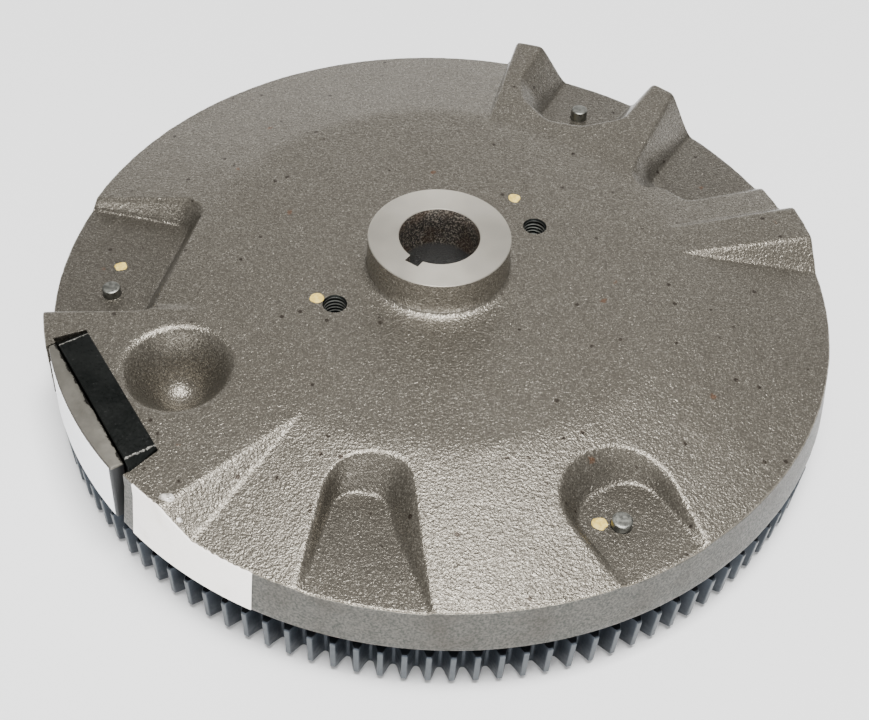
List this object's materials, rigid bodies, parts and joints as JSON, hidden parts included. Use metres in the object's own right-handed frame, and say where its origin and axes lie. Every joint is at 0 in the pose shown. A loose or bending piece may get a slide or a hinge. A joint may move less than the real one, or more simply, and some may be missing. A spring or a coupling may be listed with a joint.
{
  "type": "flywheel",
  "caption": "Cast iron engine flywheel with a raised bored hub, fan drive pockets with pins, cooling fins, an ignition magnet in the rim and a toothed starter ring.",
  "frame": {"origin": "on the shaft axis, in the plane of the skirt's lower face", "axes": "+Z along the shaft axis towards the hub face; -Y towards the front of the reference view; the ignition magnet is at about 215 degrees from +X towards +Y"},
  "size_m": [0.2586, 0.2586, 0.0525],
  "materials": {
    "cast_iron_body": "as cast, hub top machined",
    "gear_steel": "blued",
    "pin_steel": "ground",
    "magnet_black": "satin",
    "shoe_steel": "satin",
    "label_white": "matt",
    "label_cream": "matt",
    "ferrite": "matt"
  },
  "bodies": {
    "root": {"flywheel_casting": "cast_iron_body", "ring_gear": "gear_steel", "fan_pin_rear": "pin_steel", "fan_pin_left": "pin_steel", "fan_pin_front": "pin_steel", "ignition_magnet": "magnet_black", "magnet_wedge_rear": "magnet_black", "magnet_wedge_front": "magnet_black", "pole_shoe": "shoe_steel", "pole_shoe_label": "label_white", "rim_label": "label_cream", "alternator_magnet_01": "ferrite", "alternator_magnet_02": "ferrite", "alternator_magnet_03": "ferrite", "alternator_magnet_04": "ferrite", "alternator_magnet_05": "ferrite", "alternator_magnet_06": "ferrite", "alternator_magnet_07": "ferrite", "alternator_magnet_08": "ferrite", "alternator_magnet_09": "ferrite", "alternator_magnet_10": "ferrite", "alternator_magnet_11": "ferrite", "alternator_magnet_12": "ferrite"}
  },
  "joints": []
}
